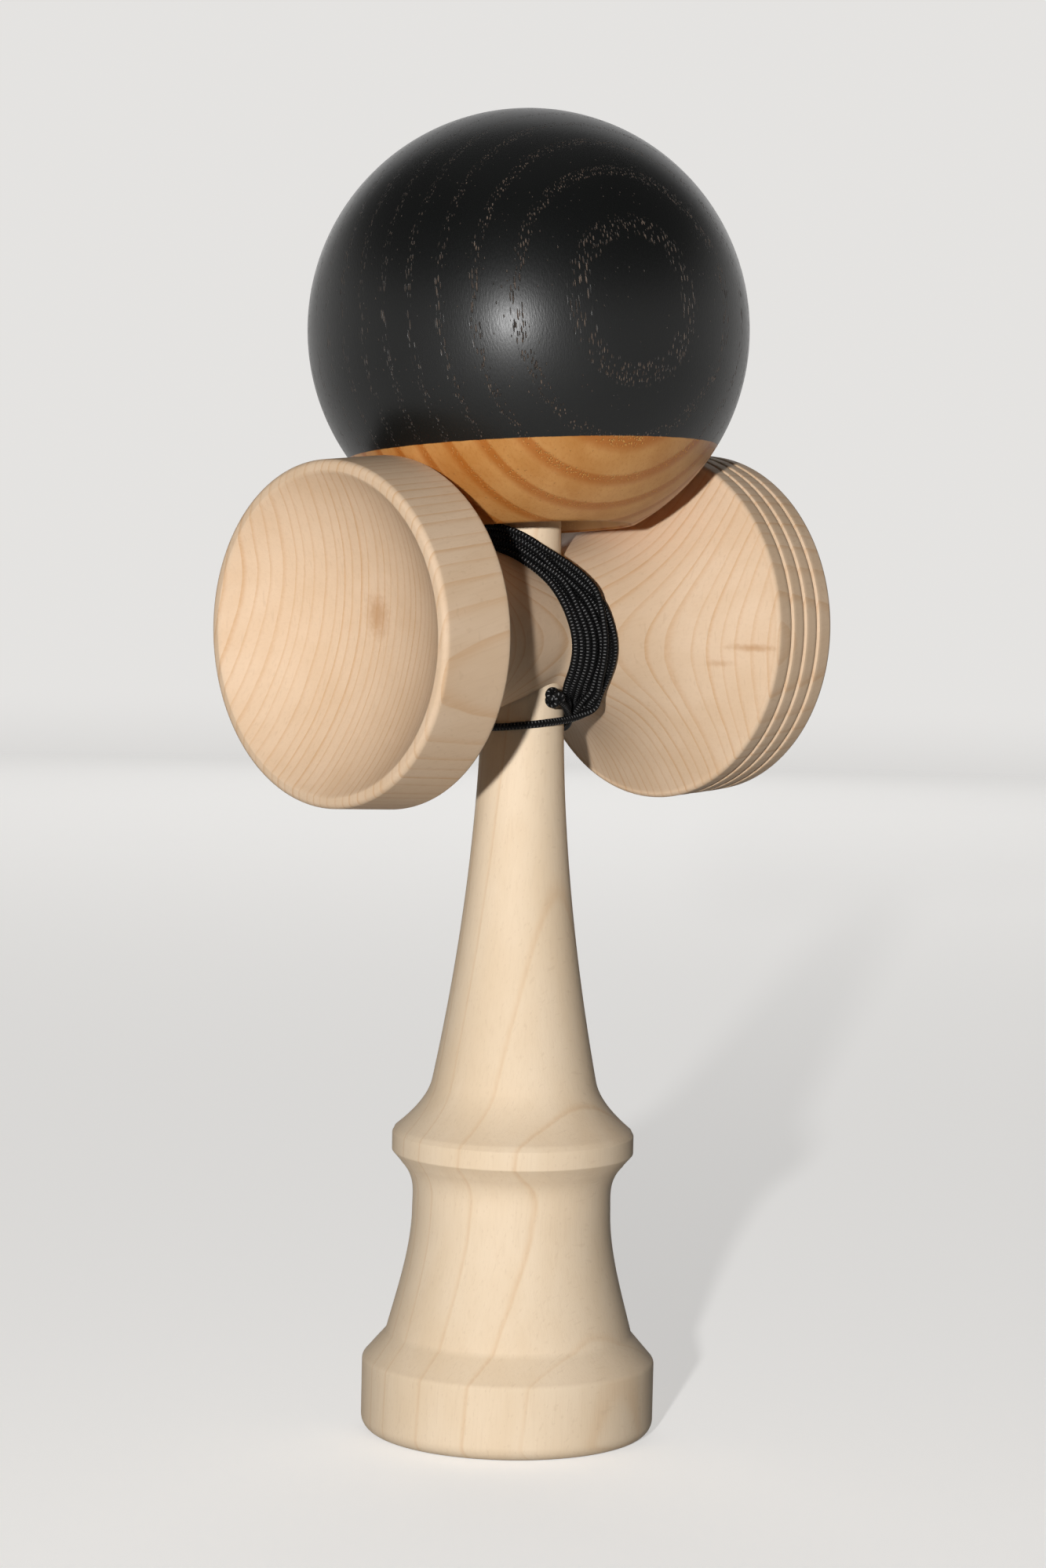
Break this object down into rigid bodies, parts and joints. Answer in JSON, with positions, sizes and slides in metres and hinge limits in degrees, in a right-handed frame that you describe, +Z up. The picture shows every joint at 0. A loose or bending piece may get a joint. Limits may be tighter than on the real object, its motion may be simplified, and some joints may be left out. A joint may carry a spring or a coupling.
{
  "type": "kendama",
  "caption": "Wooden cup-and-ball toy: turned handle with a spike, crosspiece with two cups, a holed ball that lifts off and turns, and a string wound round the crossing.",
  "frame": {"origin": "centre of the foot's flat rim, on the handle's axis, where the kendama stands", "axes": "+Z up the handle, +X along the crosspiece towards its big grooved cup, -Y the front, where the end knot shows"},
  "size_m": [0.0734, 0.06, 0.1817],
  "materials": {
    "maple": "pale bare maple, smooth sanded",
    "painted_ash": "thin satin black paint over open ash grain, bare golden ash below",
    "bead_wood": "pale bare wood",
    "cord": "thin black braided nylon"
  },
  "bodies": {
    "handle": {"ken": "maple", "sarado": "maple", "string_lead": "cord", "string_winding": "cord", "string_tail": "cord", "string_anchor_knot": "cord", "string_end_knot": "cord"},
    "swivel": {"string_bead": "bead_wood"},
    "ball": {"tama": "painted_ash"}
  },
  "joints": [
    {"name": "tama_lift", "type": "slide", "parent": "handle", "child": "swivel", "axis": [0.0243, 0.1097, 0.9937], "range_m": [0, 0.06]},
    {"name": "tama_spin", "type": "hinge", "parent": "swivel", "child": "ball", "pos_m": [-0.00052, 0, 0.15175], "axis": [0.0243, 0.1097, 0.9937], "continuous": true}
  ]
}
